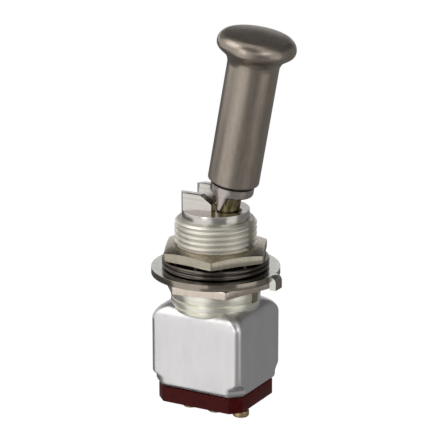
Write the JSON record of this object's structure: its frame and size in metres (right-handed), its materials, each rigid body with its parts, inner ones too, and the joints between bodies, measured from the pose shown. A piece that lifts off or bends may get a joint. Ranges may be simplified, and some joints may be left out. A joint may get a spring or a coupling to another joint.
{
  "type": "toggle switch",
  "caption": "Locking-lever toggle switch with a pull-to-unlock sleeve, threaded panel bushing with nuts and washers, metal can and moulded base.",
  "frame": {"origin": "on the bushing's axis, halfway up the bare thread above the upper nut, where a panel sits", "axes": "+Z along the bushing's axis from the base to the lever; the lever leans towards +X at rest, on the side of the keyway and of the washer's tab; -Y is the normal of one of the can's two wide faces"},
  "size_m": [0.0216, 0.0188, 0.058],
  "materials": {
    "gunmetal": "dark gun-metal lacquer over turned metal, satin",
    "collar_steel": "turned steel, satin",
    "olive_brass": "darkened brass, satin",
    "bushing_nickel": "satin nickel plate on machined brass",
    "nut_nickel": "satin nickel plate",
    "washer_steel": "bright plated spring steel",
    "can_aluminium": "drawn aluminium, fine satin",
    "phenolic": "dark red-brown moulded phenolic, glossy",
    "terminal_brass": "tinned brass, satin",
    "seal_rubber": "moulded rubber, matt",
    "liner_board": "pressed insulating board, matt",
    "spring_steel": "drawn music wire",
    "contact_silver": "silver contact, satin",
    "blade_bronze": "phosphor bronze strip",
    "plunger_plastic": "moulded natural plastic, matt"
  },
  "bodies": {
    "root": {"bushing": "bushing_nickel", "upper_nut": "nut_nickel", "lower_nut": "nut_nickel", "lock_washer": "washer_steel", "keying_washer": "washer_steel", "housing": "can_aluminium", "base": "phenolic", "base_gasket": "seal_rubber", "insulating_liner": "liner_board", "terminal_left": "terminal_brass", "terminal_common": "terminal_brass", "terminal_right": "terminal_brass", "fixed_contact_left": "contact_silver", "fixed_contact_right": "contact_silver", "rocker_saddle": "blade_bronze", "pivot_pin": "spring_steel"},
    "lever": {"lever": "olive_brass", "lever_seal": "seal_rubber", "lever_stop": "olive_brass", "knob_spring": "spring_steel", "plunger_spring": "spring_steel"},
    "knob": {"knob": "gunmetal", "lock_collar": "collar_steel"},
    "rocker": {"contact_rocker": "blade_bronze", "moving_contact_left": "contact_silver", "moving_contact_right": "contact_silver"},
    "plunger": {"plunger": "plunger_plastic"}
  },
  "joints": [
    {"name": "lever_tilt", "type": "hinge", "parent": "root", "child": "lever", "pos_m": [0, 0, -0.00795], "axis": [0, 1, 0], "range_deg": [-20.8, 0]},
    {"name": "knob_pull", "type": "slide", "parent": "lever", "child": "knob", "axis": [0.1805, 0, 0.9836], "range_m": [0, 0.0043], "deforming": ["knob_spring"]},
    {"name": "rocker_tilt", "type": "hinge", "parent": "root", "child": "rocker", "pos_m": [0, 0, -0.01856], "axis": [0, 1, 0], "range_deg": [0, 18]},
    {"name": "plunger_travel", "type": "slide", "parent": "lever", "child": "plunger", "axis": [0.1805, 0, 0.9836], "range_m": [0, 0.0008], "stiffness_N_per_m": 2000, "springref_m": -0.001, "deforming": ["plunger_spring"]}
  ],
  "couplings": [
    {"joint": "knob_pull", "follows": "lever_tilt", "m_per_rad": -0.011845},
    {"joint": "rocker_tilt", "follows": "lever_tilt", "ratio": -0.86538}
  ]
}
